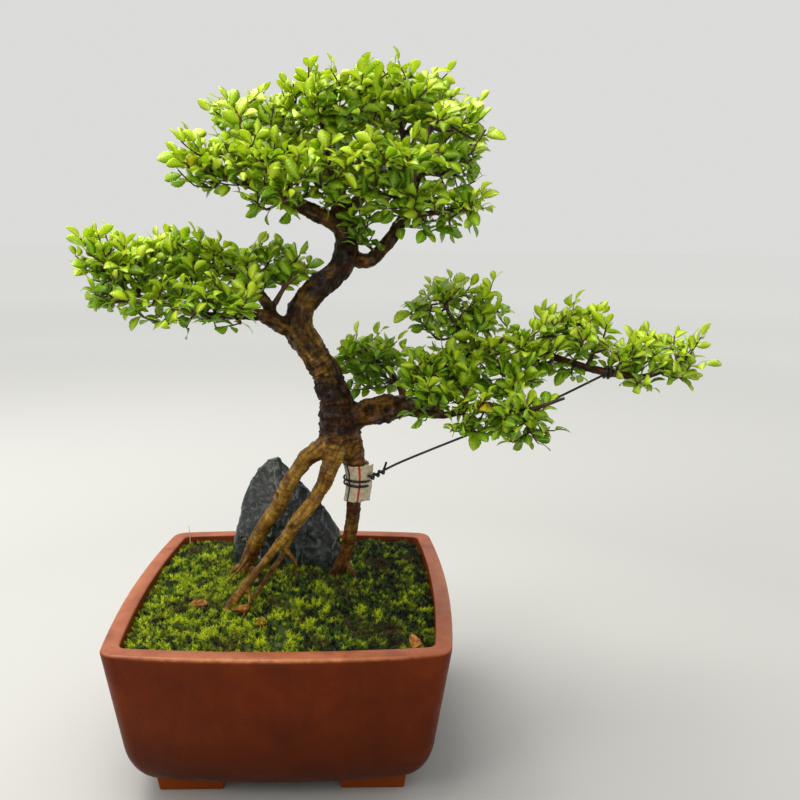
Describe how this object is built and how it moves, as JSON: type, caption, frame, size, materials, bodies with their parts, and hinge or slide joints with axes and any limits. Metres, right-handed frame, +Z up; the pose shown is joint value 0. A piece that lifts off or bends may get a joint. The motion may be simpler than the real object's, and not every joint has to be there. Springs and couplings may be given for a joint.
{
  "type": "bonsai tree in a pot",
  "caption": "Small-leaved bonsai on exposed roots over a standing stone, with moss and soil in a square clay pot on feet.",
  "frame": {"origin": "on the ground under the middle of the whole piece's bounding box; the pot's own centre is about 91 mm to the left of it", "axes": "+Z up, -Y towards the tree's front view, +X towards the long right-hand branch"},
  "size_m": [0.5088, 0.2794, 0.5867],
  "materials": {
    "unglazed_clay": "matte",
    "black_plastic_mesh": "matte",
    "clip_wire": "satin",
    "soil": "matte",
    "moss": "matte",
    "river_stone": "satin",
    "bark": "satin",
    "foliage": "satin",
    "woven_plastic_wrap": "satin",
    "black_wire": "satin",
    "dry_leaf": "matte",
    "dry_grass": "matte"
  },
  "bodies": {
    "root": {"drain_mesh": "black_plastic_mesh", "dry_leaf_1": "dry_leaf", "dry_leaf_2": "dry_leaf", "dry_leaf_3": "dry_leaf", "dry_leaf_4": "dry_leaf", "foliage_crown_back": "foliage", "foliage_crown_front": "foliage", "foliage_crown_front_right": "foliage", "foliage_crown_left": "foliage", "foliage_crown_low_right": "foliage", "foliage_crown_right": "foliage", "foliage_crown_sprig": "foliage", "foliage_crown_tip_left": "foliage", "foliage_crown_top": "foliage", "foliage_crown_top_right": "foliage", "foliage_left_front": "foliage", "foliage_left_inner": "foliage", "foliage_left_middle": "foliage", "foliage_left_tip": "foliage", "foliage_right_front": "foliage", "foliage_right_inner": "foliage", "foliage_right_low": "foliage", "foliage_right_middle": "foliage", "foliage_right_outer": "foliage", "foliage_right_tip": "foliage", "foliage_right_top": "foliage", "grass_blade": "dry_grass", "guy_wire": "black_wire", "mesh_clip": "clip_wire", "moss": "moss", "pot": "unglazed_clay", "root_sleeve": "woven_plastic_wrap", "soil": "soil", "stone": "river_stone", "tree": "bark"}
  },
  "joints": []
}
